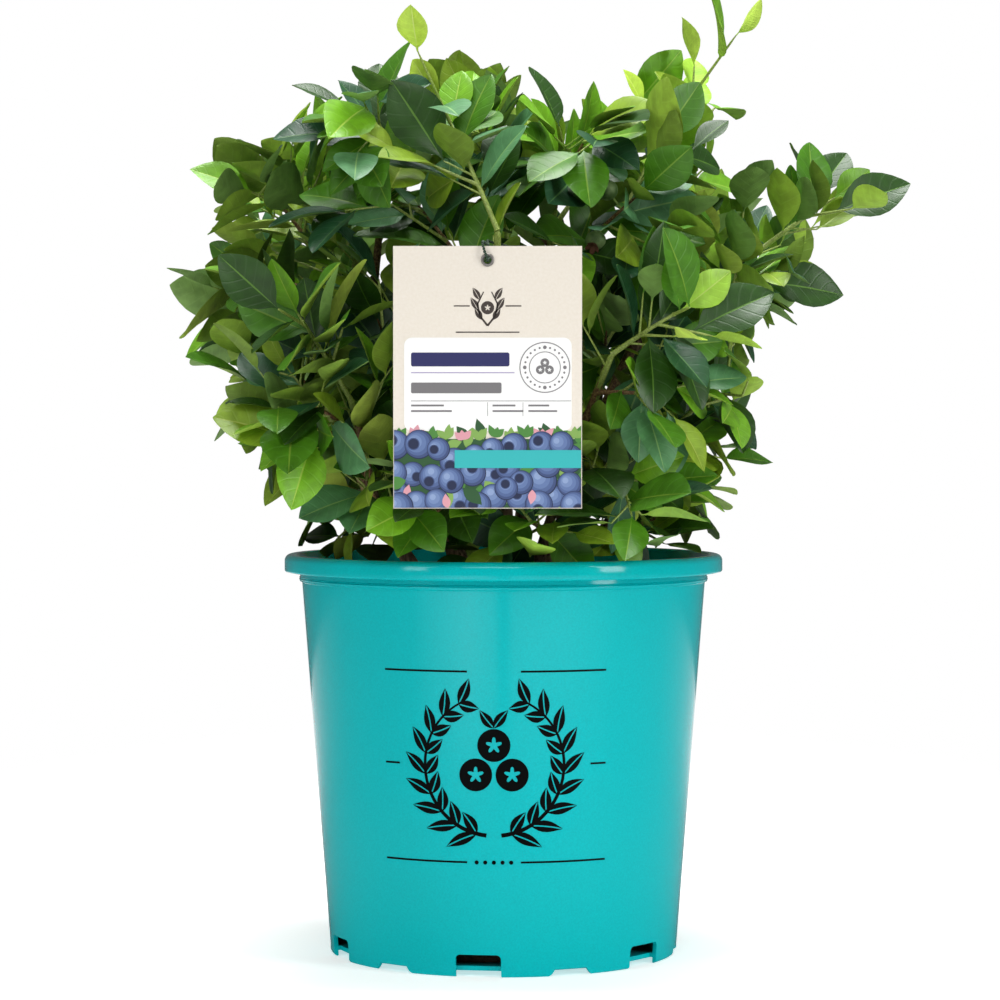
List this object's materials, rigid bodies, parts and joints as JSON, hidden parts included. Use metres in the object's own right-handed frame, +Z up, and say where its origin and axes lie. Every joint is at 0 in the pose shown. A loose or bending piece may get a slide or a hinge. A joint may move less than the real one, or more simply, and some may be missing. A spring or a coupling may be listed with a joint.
{
  "type": "potted blueberry bush",
  "caption": "Leafy multi-stem blueberry bush in a tapered round plastic nursery pot with a rolled rim and notched foot, with a blank card tag tied to a stem.",
  "frame": {"origin": "centre of the disc in the middle of the pot's underside, which stands on the ground", "axes": "+Z up, -Y towards the front, where the tag hangs; +X to the right seen from the front"},
  "size_m": [0.4003, 0.3352, 0.5175],
  "materials": {
    "pot_plastic": "glossy moulded teal plastic",
    "potting_mix": "loose dark bark compost",
    "bark": "thin flaking brown bark",
    "green_bark": "smooth young green-brown bark",
    "leaf": "smooth waxy leaf, slightly blue above and paler below",
    "young_leaf": "thin young leaf, yellow-green",
    "tag_card": "coated printed card",
    "eyelet": "dark satin rolled metal",
    "tie": "dark green waxed cord"
  },
  "bodies": {
    "root": {"pot": "pot_plastic", "potting_mix": "potting_mix", "tag_card": "tag_card", "tag_eyelet": "eyelet", "tag_tie": "tie", "cane_left_low": "bark", "cane_left": "bark", "cane_front": "bark", "cane_top": "bark", "cane_right": "bark", "cane_right_low": "bark", "cane_front_right": "bark", "cane_back_left": "bark", "cane_back": "bark", "cane_back_right": "bark", "bough_left_arm": "green_bark", "bough_top_left": "green_bark", "bough_front_left": "green_bark", "bough_right_arm": "green_bark", "leaves_left_arm_high": "leaf", "leaves_left_tip_pale": "young_leaf", "leaves_left_arm_mid": "leaf", "leaves_left_mid": "leaf", "leaves_left_low": "leaf", "leaves_left_skirt": "leaf", "leaves_left_rim": "leaf", "leaves_front_left_high": "young_leaf", "leaves_front_left": "leaf", "leaves_front_left_low": "leaf", "leaves_top_left": "young_leaf", "leaves_front_shoot": "young_leaf", "leaves_top_mid_left": "leaf", "leaves_top_centre": "leaf", "leaves_top_leader": "young_leaf", "leaves_top_pale": "young_leaf", "leaves_right_arm_high": "young_leaf", "leaves_right_arm_mid": "leaf", "leaves_right_mid": "leaf", "leaves_right_low": "leaf", "leaves_right_skirt": "leaf", "leaves_right_rim": "leaf", "leaves_front_right_high": "young_leaf", "leaves_front_right": "leaf", "leaves_front_right_low": "leaf", "leaves_front_low": "leaf", "leaves_front_top": "leaf", "leaves_front_top_left": "leaf", "leaves_centre_left": "leaf", "leaves_centre_right": "leaf", "leaves_front_low_left": "leaf", "leaves_centre_top": "leaf", "leaves_back_left_high": "leaf", "leaves_back_left": "leaf", "leaves_back_left_low": "leaf", "leaves_back_high": "leaf", "leaves_back_mid": "leaf", "leaves_back_low": "leaf", "leaves_back_right_high": "leaf", "leaves_back_right": "leaf", "leaves_back_right_low": "leaf"}
  },
  "joints": []
}
